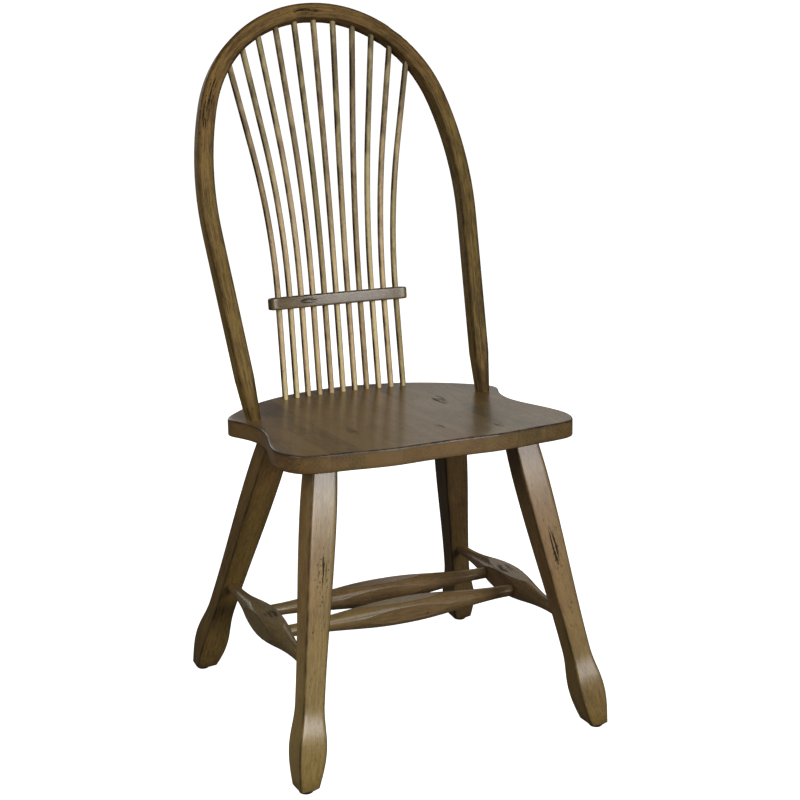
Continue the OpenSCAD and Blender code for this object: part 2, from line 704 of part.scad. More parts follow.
module glide_nails() {
    color(STEEL) standing() for (front = [true, false]) for (side = [-1, 1])
        translate(glide_place(front, side)) nail_shape(0);
}

module bow_screws() {
    color(STEEL) standing() for (side = [-1, 1]) screw_shape(side, 0);
}

for (k = [1 : BOARDS]) seat_board(k);
for (i = [1 : SPINDLES]) spindle(i);
bow();
band();
leg(true, -1);  // leg_front_left
leg(true, 1);  // leg_front_right
leg(false, -1);  // leg_rear_left
leg(false, 1);  // leg_rear_right
side_stretcher(-1);  // stretcher_left
side_stretcher(1);  // stretcher_right
cross_stretcher(cross_front_at);  // stretcher_front
cross_stretcher(cross_front_at + cross_gap);  // stretcher_rear
glide(true, -1);  // glide_front_left
glide(true, 1);  // glide_front_right
glide(false, -1);  // glide_rear_left
glide(false, 1);  // glide_rear_right
glide_nails();
bow_screws();
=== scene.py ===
"""Looks of a sheaf back side chair: skins lofted over the solids, stained wood, floor, light and camera."""

import json
import math

import bmesh
import bpy
import numpy as np
from mathutils import Matrix, Vector
from mathutils.bvhtree import BVHTree
from mathutils.interpolate import poly_3d_calc

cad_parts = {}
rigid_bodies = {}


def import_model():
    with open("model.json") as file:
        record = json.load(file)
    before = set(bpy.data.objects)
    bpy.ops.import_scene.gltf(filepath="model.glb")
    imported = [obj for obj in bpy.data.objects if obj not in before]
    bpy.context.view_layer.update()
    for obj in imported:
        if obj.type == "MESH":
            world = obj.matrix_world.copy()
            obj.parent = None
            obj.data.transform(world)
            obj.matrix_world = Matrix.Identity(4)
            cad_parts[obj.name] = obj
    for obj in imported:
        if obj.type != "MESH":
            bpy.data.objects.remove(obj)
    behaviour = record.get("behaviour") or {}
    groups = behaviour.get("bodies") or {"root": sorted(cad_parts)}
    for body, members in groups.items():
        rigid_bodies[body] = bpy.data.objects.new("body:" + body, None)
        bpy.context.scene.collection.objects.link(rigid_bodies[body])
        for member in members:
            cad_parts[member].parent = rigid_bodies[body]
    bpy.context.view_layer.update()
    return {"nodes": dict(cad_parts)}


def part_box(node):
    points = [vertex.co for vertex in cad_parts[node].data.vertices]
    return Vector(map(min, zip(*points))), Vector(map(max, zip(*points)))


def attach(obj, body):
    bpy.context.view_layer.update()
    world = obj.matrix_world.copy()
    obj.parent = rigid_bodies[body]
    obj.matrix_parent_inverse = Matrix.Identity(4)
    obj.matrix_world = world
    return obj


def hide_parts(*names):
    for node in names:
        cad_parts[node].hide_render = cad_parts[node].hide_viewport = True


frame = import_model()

MM = 0.001
BODY = "root"
UP = np.array([0.0, 0.0, 1.0])
BACK = np.array([0.0, 1.0, 0.0])
RIGHT = np.array([1.0, 0.0, 0.0])
FAR = 1.5
JUST_INSIDE = 0.2 * MM
SAWN_SEED = 11
SAWN = np.random.default_rng(SAWN_SEED)


# Measuring the solids

RIM_DEPTH = 6 * MM
RIM_PASSES = 4


def unit(v):
    return v / np.linalg.norm(v)


class Solid:
    """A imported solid, or several as one, read by its corners and by rays against its faces."""

    def __init__(self, *nodes):
        points, faces = [], []
        for node in nodes:
            mesh = frame["nodes"][node].data
            faces += [[len(points) + i for i in p.vertices] for p in mesh.polygons]
            points += [tuple(v.co) for v in mesh.vertices]
        self.points = np.array(points, float)
        self.tree = BVHTree.FromPolygons(points, faces)

    def skin(self, centre, way, far=0.1):
        """Distance from a point within to the outermost surface one way."""
        start = Vector(centre + way * far)
        return far - self.tree.ray_cast(start, Vector(-way), far)[3]

    def flat_end(self, rough, side=0):
        """Centre and outward normal of the flat round end that lies furthest a rough way."""
        way, depth = unit(np.array(rough, float)), RIM_DEPTH
        points = self.points[self.points[:, 0] * side >= 0]
        for _ in range(RIM_PASSES):
            along = points @ way
            rim = points[along > along.max() - depth]
            centre = (rim.min(0) + rim.max(0)) / 2
            normal = np.linalg.svd(rim - rim.mean(0))[2][2]
            way = normal * np.sign(normal @ way)
            depth = JUST_INSIDE
        return centre, way

    def long_way(self):
        """Direction of the solid's greatest length."""
        return np.linalg.svd(self.points - self.points.mean(0), full_matrices=False)[2][0]

    def flat_way(self):
        """Direction of the solid's least thickness."""
        return np.linalg.svd(self.points - self.points.mean(0), full_matrices=False)[2][2]


# Sections of the wooden pieces, as places round a middle and how near each is to an arris

NEAR_BESIDE_ARRIS = 0.55
NEAR_AT_FLAT_END = 0.15
NEAR_FADE = 12


def rounded_box(half_u, half_v, corner, flats=8, arc=4):
    """A rectangle with rounded corners."""
    places, near = [], []
    corner = min(corner, half_u, half_v)
    for turn, (a, b) in enumerate([(half_u, half_v), (half_v, half_u)] * 2):
        c, s = round(math.cos(math.pi / 2 * turn)), round(math.sin(math.pi / 2 * turn))
        for k in range(flats + 1):
            share = 2 * k / flats - 1
            x, y = a, share * (b - corner)
            places.append((c * x - s * y, s * x + c * y))
            near.append(abs(share) ** NEAR_FADE * NEAR_AT_FLAT_END)
        for k in range(1, arc):
            angle = math.pi / 2 * k / arc
            x = a - corner + corner * math.cos(angle)
            y = b - corner + corner * math.sin(angle)
            places.append((c * x - s * y, s * x + c * y))
            near.append(1.0 if 2 * k == arc else NEAR_BESIDE_ARRIS)
    return np.array(places), np.array(near)


FLAT_SHARES = (-1.0, -0.92, -0.4, 0.4, 0.92, 1.0)
ROUND_SHARES = (0.07, 0.25, 0.5, 0.75, 0.93)
LEAST_FLAT = math.radians(9)
FLAT_SEEN_FROM = 1.01
NEAR_AT_FACET = 0.8


def facetted_round(radius, blank):
    """A turned round whose sides are cut flat where it is wider than its square blank."""
    places, near = [], []
    edge = max(math.acos(min(1.0, blank / radius)), LEAST_FLAT)
    cut = radius > blank * FLAT_SEEN_FROM
    for turn in range(4):
        base = math.pi / 2 * turn
        for share in FLAT_SHARES:
            angle = math.atan(share * math.tan(edge))
            r = min(radius, blank / math.cos(angle))
            places.append((r * math.cos(base + angle), r * math.sin(base + angle)))
            near.append(NEAR_AT_FACET if cut and abs(share) == 1 else 0.0)
        for share in ROUND_SHARES:
            angle = edge + (math.pi / 2 - 2 * edge) * share
            places.append((radius * math.cos(base + angle), radius * math.sin(base + angle)))
            near.append(0.0)
    return np.array(places), np.array(near)


# Skins: rings of one count of points along a path

HEART_NEAREST = 0.05
HEART_FURTHEST = 0.14
TRUNK_HALF = 3.0
CUT_PASSES = 3


def own_stock():
    """Where a piece was sawn from: its distance from the heart and its place along the trunk."""
    heart = SAWN.uniform(HEART_NEAREST, HEART_FURTHEST, 2) * SAWN.choice([-1, 1], 2)
    return np.array([*heart, SAWN.uniform(-TRUNK_HALF, TRUNK_HALF)])


def add_mesh(name, points, faces, grain, edge):
    """A new piece with the wood's own coordinates and its nearness to an arris, which on the spindles holds
    their painted shade instead.
    """
    mesh = bpy.data.meshes.new(name)
    mesh.from_pydata([tuple(p) for p in points], [], faces)
    mesh.attributes.new("grain", "FLOAT_VECTOR", "POINT")
    mesh.attributes["grain"].data.foreach_set("vector", (np.asarray(grain) + own_stock()).ravel())
    mesh.attributes.new("edge", "FLOAT", "POINT")
    mesh.attributes["edge"].data.foreach_set("value", np.asarray(edge, float))
    mesh.attributes.new("wear", "FLOAT", "POINT")
    mesh.polygons.foreach_set("use_smooth", [True] * len(mesh.polygons))
    piece = bpy.data.objects.new(name, mesh)
    bpy.context.scene.collection.objects.link(piece)
    return piece


def loft(node, rings):
    """Skins a run of rings, closes both ends and lets the piece stand for its solid.

    Each ring holds its points, its nearness to arrises (on the spindles, their painted shade) and its places
    in the wood."""
    count = len(rings[0][0])
    points = [p for ring in rings for p in ring[0]]
    edge = [e for ring in rings for e in ring[1]]
    grain = [g for ring in rings for g in ring[2]]
    faces = []
    for i in range(len(rings) - 1):
        for j in range(count):
            k = (j + 1) % count
            faces.append((i * count + j, i * count + k, (i + 1) * count + k, (i + 1) * count + j))
    for i, first in ((0, True), (len(rings) - 1, False)):
        hub = len(points)
        points.append(np.mean(rings[i][0], axis=0))
        grain.append(np.mean(rings[i][2], axis=0))
        edge.append(0.0)
        for j in range(count):
            k = (j + 1) % count
            pair = (i * count + k, i * count + j) if first else (i * count + j, i * count + k)
            faces.append((*pair, hub))
    piece = add_mesh(node + "_wood", points, faces, grain, edge)
    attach(piece, BODY)
    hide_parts(node)


def ring_at(centre, u, v, section, s):
    """A ring of a section set at a place of the path."""
    places, near = section
    points = centre + places[:, :1] * u + places[:, 1:] * v
    grain = np.column_stack([places, np.full(len(places), s)])
    return points, near, grain


def cut_ring(foot, along, u, v, half_at, corner, plane_point, plane_normal, s, grow=0.0):
    """A ring of a leg that lies in a plane which crosses the leg askew."""
    s = np.full(len(rounded_box(1.0, 1.0, 0.1)[0]), s)
    for _ in range(CUT_PASSES):
        sections = [rounded_box(half_at(t) + grow, half_at(t) + grow, corner) for t in s]
        places = np.array([section[0][j] for j, section in enumerate(sections)])
        points = foot + s[:, None] * along + places[:, :1] * u + places[:, 1:] * v
        s = s - (points - plane_point) @ plane_normal / (along @ plane_normal)
    points = foot + s[:, None] * along + places[:, :1] * u + places[:, 1:] * v
    return points, sections[0][1], np.column_stack([places, s])


# The seat's plane, from the widest flat face under its middle board


def flat_underside(node):
    mesh = frame["nodes"][node].data
    down = [p for p in mesh.polygons if p.normal.z < -0.95]
    widest = max(down, key=lambda p: p.area)
    return np.array(widest.center), unit(np.array(widest.normal))


BOARDS = sorted(n for n in frame["nodes"] if n.startswith("seat_board"))
under_point, under_normal = flat_underside(BOARDS[len(BOARDS) // 2])
seat_up = -under_normal
seat_back = unit(BACK - seat_up * (BACK @ seat_up))


# Legs

ARRIS = 3.4 * MM
TOE_CHAMFER = 4.5 * MM
LEG_PROBED_FROM = 14 * MM
LEG_PROBED_TO = 24 * MM
LEG_PROBE_STEP = 3 * MM
LEG_RINGS_FROM = 18 * MM
LEG_RINGS_TO = 12 * MM
LEG_RING_STEP = 5 * MM


def leg(name, glide):
    """A square leg from its glide to the seat's underside, as thick at each height as its solid."""
    solid = Solid(name)
    low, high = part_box(glide)
    foot = np.array([(low.x + high.x) / 2, (low.y + high.y) / 2, high.z])
    top = solid.flat_end(UP)[0]
    along = unit(top - foot)
    u = unit(np.cross(BACK, along))
    v = np.cross(along, u)
    length = (under_point - foot) @ seat_up / (along @ seat_up)
    known = np.arange(LEG_PROBED_FROM, length - LEG_PROBED_TO, LEG_PROBE_STEP)
    outward = u * np.sign(foot[0])
    halves = [solid.skin(foot + along * s, outward) for s in known]

    def half_at(s):
        if s < known[0]:
            return halves[0] + (s - known[0]) * (halves[2] - halves[0]) / (known[2] - known[0])
        if s > known[-1]:
            return halves[-1] + (s - known[-1]) * (halves[-1] - halves[-3]) / (known[-1] - known[-3])
        return float(np.interp(s, known, halves))

    floor = foot * (1, 1, 0) + (0, 0, foot[2])
    rings = [cut_ring(foot, along, u, v, half_at, ARRIS, floor, UP, 0.0, -TOE_CHAMFER)]
    lip = floor + UP * TOE_CHAMFER
    rings.append(cut_ring(foot, along, u, v, half_at, ARRIS, lip, UP, TOE_CHAMFER))
    for s in np.arange(LEG_RINGS_FROM, length - LEG_RINGS_TO, LEG_RING_STEP):
        section = rounded_box(half_at(s), half_at(s), ARRIS)
        rings.append(ring_at(foot + along * s, u, v, section, s))
    rings.append(cut_ring(foot, along, u, v, half_at, ARRIS, under_point, seat_up, length))
    loft(name, rings)


LEGS = [n for n in frame["nodes"] if n.startswith("leg_")]
for node in LEGS:
    leg(node, node.replace("leg", "glide"))


# Stretchers

STRETCHER_RINGS = 90


def stretcher(name):
    """A stretcher from end to end, as thick at each place as its solid's corners."""
    solid = Solid(name)
    way = solid.long_way()
    a = solid.flat_end(-way)[0]
    b = solid.flat_end(way)[0]
    along, length = unit(b - a), np.linalg.norm(b - a)
    v = unit(np.cross(UP, along))
    u = np.cross(v, along)
    outside = v * (np.sign(a[0]) if abs(a[0] + b[0]) > 0.1 else 1.0)
    upward = u * np.sign(u[2])
    blank = solid.skin(a + along * length / 2, outside)
    rings = []
    for s in np.linspace(JUST_INSIDE, length - JUST_INSIDE, STRETCHER_RINGS):
        centre = a + along * s
        radius = solid.skin(centre, unit(outside + upward))
        rings.append(ring_at(centre, u, v, facetted_round(radius, blank), s))
    loft(name, rings)


STRETCHERS = [n for n in frame["nodes"] if n.startswith("stretcher_")]
for node in STRETCHERS:
    stretcher(node)


# Spindles

SPINDLE_SIDES = 18
SPINDLE_STEP = 8 * MM
SPINDLE_REACH = 30 * MM
# Painted shade on the spindles: their left and right sides, and their upper part from 150 mm up, are darkened
# toward the glaze colour through the arris attribute.
SPINDLE_PAINTED_SHADE = 0.72
SPINDLE_PAINTED_SHADE_FROM = 150 * MM
SPINDLE_PAINTED_SHADE_TO = 450 * MM
PAINTED_FLANK_SHADE_SPREAD = 3.3
PAINTED_FLANK_SHADE_START = 1.5


def spindle(name):
    """A bent rod, followed from its foot to its top through the middle of its solid, with painted shade on
    its sides and its upper part.
    """
    solid = Solid(name)
    foot, down = solid.flat_end(-UP)
    top = solid.flat_end(UP)[0]
    along = -down
    centre = foot + along * JUST_INSIDE
    turns = np.arange(SPINDLE_SIDES) * 2 * math.pi / SPINDLE_SIDES
    round_once = np.column_stack([np.cos(turns), np.sin(turns)])
    # painted shade on the spindle's left and right sides
    painted_flank_shade = np.clip(np.abs(np.cos(turns)) * PAINTED_FLANK_SHADE_SPREAD - PAINTED_FLANK_SHADE_START, 0, 1)
    rings, s = [], 0.0
    while True:
        u = unit(RIGHT - along * along[0])
        v = np.cross(along, u)
        for way in (u, v):
            ahead = solid.skin(centre, way, SPINDLE_REACH)
            behind = solid.skin(centre, -way, SPINDLE_REACH)
            centre = centre + way * (ahead - behind) / 2
        radius = (solid.skin(centre, u, SPINDLE_REACH) + solid.skin(centre, v, SPINDLE_REACH)) / 2
        # painted shade that grows up the spindle
        risen = (s - SPINDLE_PAINTED_SHADE_FROM) / (SPINDLE_PAINTED_SHADE_TO - SPINDLE_PAINTED_SHADE_FROM)
        painted_upper_shade = SPINDLE_PAINTED_SHADE * np.clip(risen, 0, 1)
        section = (radius * round_once, np.maximum(painted_flank_shade, painted_upper_shade))
        rings.append(ring_at(centre, u, v, section, s))
        left = np.linalg.norm(top - centre)
        if left < SPINDLE_STEP:
            break
        if s > 0:
            along = unit(centre - previous)
        previous = centre
        centre = centre + along * SPINDLE_STEP
        s += SPINDLE_STEP
    rings.append(ring_at(top, u, v, section, s + left))
    loft(name, rings)


SPINDLES = [n for n in frame["nodes"] if n.startswith("spindle_")]
for node in SPINDLES:
    spindle(node)


# Bow

BOW_STRAIGHT = 80 * MM
BOW_STEP = 6 * MM
BOW_SMOOTHED = 3


def bow_path(solid, lean):
    """Middle line from the left foot over the crown, mirrored down to the right foot, with its directions."""
    centre, down = solid.flat_end(lean * (lean @ UP) - UP, side=-1)
    along = -down
    half, s, half_path = None, 0.0, []
    while centre[0] < -BOW_STEP / 2 or s < BOW_STRAIGHT:
        half_path.append(centre)
        previous, centre = centre, centre + along * BOW_STEP
        s += BOW_STEP
        out = outward_of(lean, along)
        if s > BOW_STRAIGHT:
            half = half or solid.skin(centre, out)
            centre = centre + out * (solid.skin(centre, out) - half)
            along = unit(centre - previous)
    mirror = np.array([-1.0, 1.0, 1.0])
    path = np.array(half_path + [c * mirror for c in reversed(half_path)])
    for _ in range(BOW_SMOOTHED):
        path[1:-1] = (path[:-2] + 2 * path[1:-1] + path[2:]) / 4
    ways = np.gradient(path, axis=0)
    return list(zip(path, ways / np.linalg.norm(ways, axis=1)[:, None]))


def outward_of(lean, along):
    """Direction in the bow's plane that leads out of its hoop, going from left to right."""
    return unit(np.cross(along, lean))


def bow():
    """The bow from foot to foot, as thick and as rounded at each place as its solid."""
    solid = Solid("bow")
    lean = solid.flat_way()
    lean = lean * np.sign(lean @ BACK)
    path = bow_path(solid, lean)
    rings, s, last = [], 0.0, path[0][0]
    for k, (centre, along) in enumerate(path):
        out = outward_of(lean, along)
        probe = centre + along * JUST_INSIDE * (1 if k == 0 else -1)
        wide, diagonal = solid.skin(probe, out), solid.skin(probe, unit(out + lean))
        corner = (wide * math.sqrt(2) - diagonal) / (math.sqrt(2) - 1)
        s += np.linalg.norm(centre - last)
        last = centre
        section = rounded_box(wide, wide, corner, flats=6, arc=6)
        rings.append(ring_at(centre, out, np.cross(along, out), section, s))
    loft("bow", rings)


bow()


# Band

MIDDLE_SPINDLE = "spindle_6"
BAND_EDGE = 1.6 * MM
BAND_CORNER = 4 * MM
BAND_CORNER_TURNS = (0, 15, 30, 45, 60, 75, 90)
BAND_RINGS = 61
BAND_FALL = 1.4 * MM
BAND_FALL_L = 14 * MM
BAND_LOWERED = 0.35
BAND_SOFTENED = 0.4


def band():
    """The curved band, square to the middle spindle, with rounded corners and ends that fall back."""
    solid = Solid("band")
    up = -Solid(MIDDLE_SPINDLE).flat_end(-UP)[1]
    back = np.cross(up, RIGHT)
    heights = solid.points @ up
    half_h = (heights.max() - heights.min()) / 2
    middle = up * (heights.max() + heights.min()) / 2
    level = (solid.points.mean(0) @ back) * back
    reach = solid.points[:, 0].max()
    ends = [reach - BAND_CORNER * (1 - math.sin(a)) for a in np.radians(BAND_CORNER_TURNS)]
    across = np.concatenate([-np.array(ends[::-1]), np.linspace(-ends[0], ends[0], BAND_RINGS)[1:-1], ends])
    rings = []
    for x in across:
        inner = min(max(x, -ends[0]), ends[0])
        probe = middle + level + RIGHT * inner
        front = -solid.skin(probe, -back)
        rear = solid.skin(probe, back)
        centre = middle + level + RIGHT * x + back * (front + rear) / 2
        past = BAND_CORNER - (reach - abs(x))
        less = BAND_CORNER - math.sqrt(max(0.0, BAND_CORNER ** 2 - max(0.0, past) ** 2))
        less += BAND_FALL * max(0.0, 1 - (reach - abs(x)) / BAND_FALL_L) ** 2
        section = rounded_box(half_h - less * BAND_LOWERED, (rear - front) / 2 - less,
                              BAND_EDGE + less * BAND_SOFTENED)
        rings.append(ring_at(centre, up, back, section, x))
    loft("band", rings)


band()


# Seat: one skin over all the boards, cut at the seams

SEAT_SIDES = 480
SEAT_RINGS = 40
SEAT_REACH = 0.5
OUTLINE_SMOOTHED = 3
SEAT_EDGE = 2.8 * MM
SEAT_LOW_EDGE = 1.6 * MM
EDGE_STEPS = 6
WALL_SHARES = (0.25, 0.5, 0.75)
NEAR_UPPER_EDGE = 1.0
NEAR_UPPER_EDGE_END = 0.4
NEAR_LOWER_EDGE = 0.8
NEAR_LOWER_EDGE_END = 0.3
DISH_SOFT = 0.12
DISH_SEEN_FROM = 0.02 * MM
DISH_ROWS = np.arange(-200, 160) * MM
CLEAR = 0.05


def smoothed(values, times):
    """Softens the corners of a closed run of values."""
    weights = np.array([1.0, 4.0, 6.0, 4.0, 1.0]) / 16
    for _ in range(times):
        values = sum(w * np.roll(values, k - 2, axis=0) for k, w in enumerate(weights))
    return values


class Seat:
    """The seat as a whole: its middle, thickness, outline and hollow, read from the boards."""

    def __init__(self):
        solids = Solid(*BOARDS)
        heights = solids.points @ seat_up
        self.thickness = heights.max() - heights.min()
        middle = solids.points.mean(0) * (0, 1, 1)
        self.middle = middle + seat_up * ((heights.max() + heights.min()) / 2 - middle @ seat_up)
        turns = np.arange(SEAT_SIDES) * 2 * math.pi / SEAT_SIDES
        ways = np.cos(turns)[:, None] * RIGHT + np.sin(turns)[:, None] * seat_back
        reach = np.array([solids.skin(self.middle, way, SEAT_REACH) for way in ways])
        reach = smoothed(reach, OUTLINE_SMOOTHED)
        self.outline = np.column_stack([np.cos(turns), np.sin(turns)]) * reach[:, None]
        side = np.roll(self.outline, -1, 0) - np.roll(self.outline, 1, 0)
        self.outward = np.column_stack([side[:, 1], -side[:, 0]]) / np.linalg.norm(side, axis=1)[:, None]
        self.measure_dish(solids)

    def measure_dish(self, solids):
        """Depth, middle and radius of the hollow, from rays down along the middle of the seat."""
        depths = []
        for y in DISH_ROWS:
            start = self.middle + seat_back * y + seat_up * CLEAR
            hit = solids.tree.ray_cast(Vector(start), Vector(-seat_up), FAR)[3]
            depths.append(hit - CLEAR + self.thickness / 2 if hit else 0.0)
        hollow = DISH_ROWS[np.array(depths) > DISH_SEEN_FROM]
        self.dish_depth = max(depths)
        self.dish_y = (hollow[0] + hollow[-1]) / 2
        self.dish_r = (hollow[-1] - hollow[0]) / 2

    def top(self, x, y):
        """Height of the upper face above the middle."""
        inside = 1 - (x * x + (y - self.dish_y) ** 2) / self.dish_r ** 2
        inside = (inside + np.sqrt(inside * inside + DISH_SOFT ** 2)) / 2
        return self.thickness / 2 - self.dish_depth * inside

    def place(self, x, y, z):
        """Points from their distances right of the middle, behind it and above it."""
        return self.middle + np.outer(x, RIGHT) + np.outer(y, seat_back) + np.outer(z, seat_up)

    def rows(self):
        """Rings from the middle of the top, over the edge, to the middle of the underside."""
        inner = self.outline - self.outward * SEAT_EDGE
        for k in range(1, SEAT_RINGS):
            share = k / SEAT_RINGS
            x, y = inner.T * share
            yield x, y, self.top(x, y), 0.0
        for k in range(EDGE_STEPS + 1):
            angle = math.pi / 2 * k / EDGE_STEPS
            x, y = (inner + self.outward * SEAT_EDGE * math.sin(angle)).T
            drop = SEAT_EDGE * (1 - math.cos(angle))
            near = NEAR_UPPER_EDGE if 0 < k < EDGE_STEPS else NEAR_UPPER_EDGE_END
            yield x, y, self.top(*inner.T) - drop, near
        low = -self.thickness / 2
        x, y = self.outline.T
        for share in WALL_SHARES:
            yield x, y, self.thickness / 2 * (1 - 2 * share) + 0 * x, 0.0
        for k in range(EDGE_STEPS + 1):
            angle = math.pi / 2 * k / EDGE_STEPS
            x, y = (self.outline - self.outward * SEAT_LOW_EDGE * (1 - math.cos(angle))).T
            lift = SEAT_LOW_EDGE * (1 - math.sin(angle))
            near = NEAR_LOWER_EDGE if 0 < k < EDGE_STEPS else NEAR_LOWER_EDGE_END
            yield x, y, low + lift + 0 * x, near
        for share in reversed(WALL_SHARES):
            yield self.outline[:, 0] * share, self.outline[:, 1] * share, low + 0 * x, 0.0


def whole_seat(seat):
    """Points, faces and nearness to arrises of the seat in one piece."""
    points, edge, faces = [seat.place(0.0, 0.0, seat.top(0.0, 0.0))[0]], [0.0], []
    count, rows = SEAT_SIDES, 0
    for x, y, z, near in seat.rows():
        points += list(seat.place(x, y, z))
        edge += [near] * count
        rows += 1
    points.append(seat.place(0.0, 0.0, -seat.thickness / 2)[0])
    edge.append(0.0)
    for j in range(count):
        k = (j + 1) % count
        faces.append((0, 1 + j, 1 + k))
        for i in range(rows - 1):
            a, b = 1 + i * count, 1 + (i + 1) * count
            faces.append((a + j, b + j, b + k, a + k))
        last = 1 + (rows - 1) * count
        faces.append((last + j, len(points) - 1, last + k))
    return points, faces, edge


def cut_board(seat, whole, left, right):
    """The stretch of the seat between two seams, closed on its cut sides."""
    points, faces, edge = whole
    mesh = bmesh.new()
    layer = mesh.verts.layers.float.new("near")
    corners = [mesh.verts.new(p) for p in points]
    for corner, near in zip(corners, edge):
        corner[layer] = near
    for face in faces:
        mesh.faces.new([corners[i] for i in face])
    for x, keep_right in ((left, True), (right, False)):
        if x is None:
            continue
        everything = mesh.verts[:] + mesh.edges[:] + mesh.faces[:]
        bmesh.ops.bisect_plane(mesh, geom=everything, plane_co=(x, 0, 0), plane_no=(1, 0, 0),
                               clear_inner=keep_right, clear_outer=not keep_right)
        rim = [e for e in mesh.edges if e.is_boundary]
        made = bmesh.ops.holes_fill(mesh, edges=rim, sides=0)["faces"]
        for e in rim:
            e.smooth = False
        bmesh.ops.triangulate(mesh, faces=made)
    mesh.normal_update()
    return mesh, layer


def seat_boards():
    """A skin for each board: the whole seat's skin, cut where the board's solid ends."""
    seat = Seat()
    whole = whole_seat(seat)
    for k, node in enumerate(BOARDS):
        low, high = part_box(node)
        left = low.x if k > 0 else None
        right = high.x if k < len(BOARDS) - 1 else None
        cut, layer = cut_board(seat, whole, left, right)
        cut.verts.index_update()
        places = np.array([v.co for v in cut.verts]) - seat.middle
        grain = np.column_stack([places[:, 0], places @ seat_up, places @ seat_back])
        faces = [[v.index for v in f.verts] for f in cut.faces]
        sharp = {tuple(sorted(v.index for v in e.verts)) for e in cut.edges if not e.smooth}
        near = [v[layer] for v in cut.verts]
        piece = add_mesh(node + "_wood", [v.co for v in cut.verts], faces, grain, near)
        for e in piece.data.edges:
            e.use_edge_sharp = tuple(sorted(e.vertices)) in sharp
        cut.free()
        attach(piece, BODY)
        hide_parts(node)


seat_boards()


# Camera, from the photograph's vanishing points and the chair's corners

CAMERA_PLACE = (-0.956, -2.07632, 1.0984)
CAMERA_AZIMUTH = math.radians(-25.39)
CAMERA_RISE = math.radians(15.43)
CAMERA_ROLL = math.radians(0.14)
FOCAL_PIXELS = 1573.23
MIDDLE_PIXEL = (399.2, 400.6)
FRAME_PIXELS = 800
SENSOR = 36.0


def camera_turn():
    """The camera's right, up and backward directions, as the columns of a matrix."""
    level, rise = CAMERA_AZIMUTH, CAMERA_RISE
    backward = Vector((math.sin(level) * math.cos(rise), -math.cos(level) * math.cos(rise), math.sin(rise)))
    right = Vector((math.cos(level), math.sin(level), 0.0))
    above = backward.cross(right)
    c, s = math.cos(CAMERA_ROLL), math.sin(CAMERA_ROLL)
    return Matrix((c * right + s * above, c * above - s * right, backward)).transposed()


def camera():
    data = bpy.data.cameras.new("camera")
    data.sensor_width = SENSOR
    data.lens = FOCAL_PIXELS / FRAME_PIXELS * SENSOR
    data.shift_x = (FRAME_PIXELS / 2 - MIDDLE_PIXEL[0]) / FRAME_PIXELS
    data.shift_y = (MIDDLE_PIXEL[1] - FRAME_PIXELS / 2) / FRAME_PIXELS
    seen = bpy.data.objects.new("camera", data)
    seen.matrix_world = Matrix.Translation(CAMERA_PLACE) @ camera_turn().to_4x4()
    bpy.context.scene.collection.objects.link(seen)
    bpy.context.scene.camera = seen


camera()


# Worn marks: pixels where the photograph shows scratches and dots rubbed full of dark glaze

LEG_LEFT_SCRATCH = (322.5, 570)
LEG_LEFT_DOT = (315, 633)
LEG_RIGHT_SCRATCH = (554, 547)
LEG_RIGHT_HIGH_DOT = (539, 495)
LEG_RIGHT_LOW_DOT = (571, 605)
SEAT_REAR_SCRATCH = (440, 401)
SEAT_LEFT_SCRATCH = (352, 431)
SEAT_MIDDLE_SCRATCH = (439, 426)
SEAT_RIGHT_SCRATCH = (499, 425)
STRETCHER_LEFT_SCRATCH = (270, 614)
STRETCHER_RIGHT_SCRATCH = (505, 568)
BAND_SCRATCH = (309, 300.5)
BOW_SCRATCH = (211, 94)
BOW_LOW_SCRATCH = (206, 113)
BOW_CROWN_SCRATCH = (306, 11)


def sight(pixel):
    """Direction from the camera through a pixel of the photograph."""
    x = (pixel[0] - MIDDLE_PIXEL[0]) / FOCAL_PIXELS
    y = (MIDDLE_PIXEL[1] - pixel[1]) / FOCAL_PIXELS
    return camera_turn() @ Vector((x, y, -1.0))


def mark(names, pixel, along, across):
    """Wears an oval into the skins behind a pixel, so many mm along the fibres and across them."""
    for name in names:
        mesh = bpy.data.objects[name + "_wood"].data
        points = [v.co.copy() for v in mesh.vertices]
        tree = BVHTree.FromPolygons(points, [list(p.vertices) for p in mesh.polygons])
        hit, _, face, _ = tree.ray_cast(Vector(CAMERA_PLACE), sight(pixel).normalized())
        if hit is None:
            continue
        grain = np.empty(3 * len(points))
        mesh.attributes["grain"].data.foreach_get("vector", grain)
        grain = grain.reshape(-1, 3)
        corners = mesh.polygons[face].vertices
        shares = np.array(poly_3d_calc([points[i] for i in corners], hit))
        away = (grain - shares @ grain[list(corners)]) / (np.array([across, across, along]) * MM / 2)
        wear = np.empty(len(points))
        mesh.attributes["wear"].data.foreach_get("value", wear)
        mesh.attributes["wear"].data.foreach_set("value", np.maximum(wear, 1 / (1 + (away ** 2).sum(1))))


mark(["leg_front_left"], LEG_LEFT_SCRATCH, 52, 13)
mark(["leg_front_left"], LEG_LEFT_DOT, 5, 4)
mark(["leg_front_right"], LEG_RIGHT_SCRATCH, 56, 12)
mark(["leg_front_right"], LEG_RIGHT_HIGH_DOT, 5, 4)
mark(["leg_front_right"], LEG_RIGHT_LOW_DOT, 5, 4)
mark(BOARDS, SEAT_REAR_SCRATCH, 55, 14)
mark(BOARDS, SEAT_LEFT_SCRATCH, 48, 13)
mark(BOARDS, SEAT_MIDDLE_SCRATCH, 38, 9)
mark(BOARDS, SEAT_RIGHT_SCRATCH, 34, 8)
mark(["stretcher_left"], STRETCHER_LEFT_SCRATCH, 38, 20)
mark(["stretcher_right"], STRETCHER_RIGHT_SCRATCH, 44, 22)
mark(["band"], BAND_SCRATCH, 32, 8)
mark(["bow"], BOW_SCRATCH, 60, 14)
mark(["bow"], BOW_LOW_SCRATCH, 55, 11)
mark(["bow"], BOW_CROWN_SCRATCH, 50, 10)


# Materials

# Dark glaze in pores, flecks, arrises and worn marks; also the colour of the painted shade on the spindles.
GLAZE_AND_PAINTED_SHADE = (0.018, 0.010, 0.005)


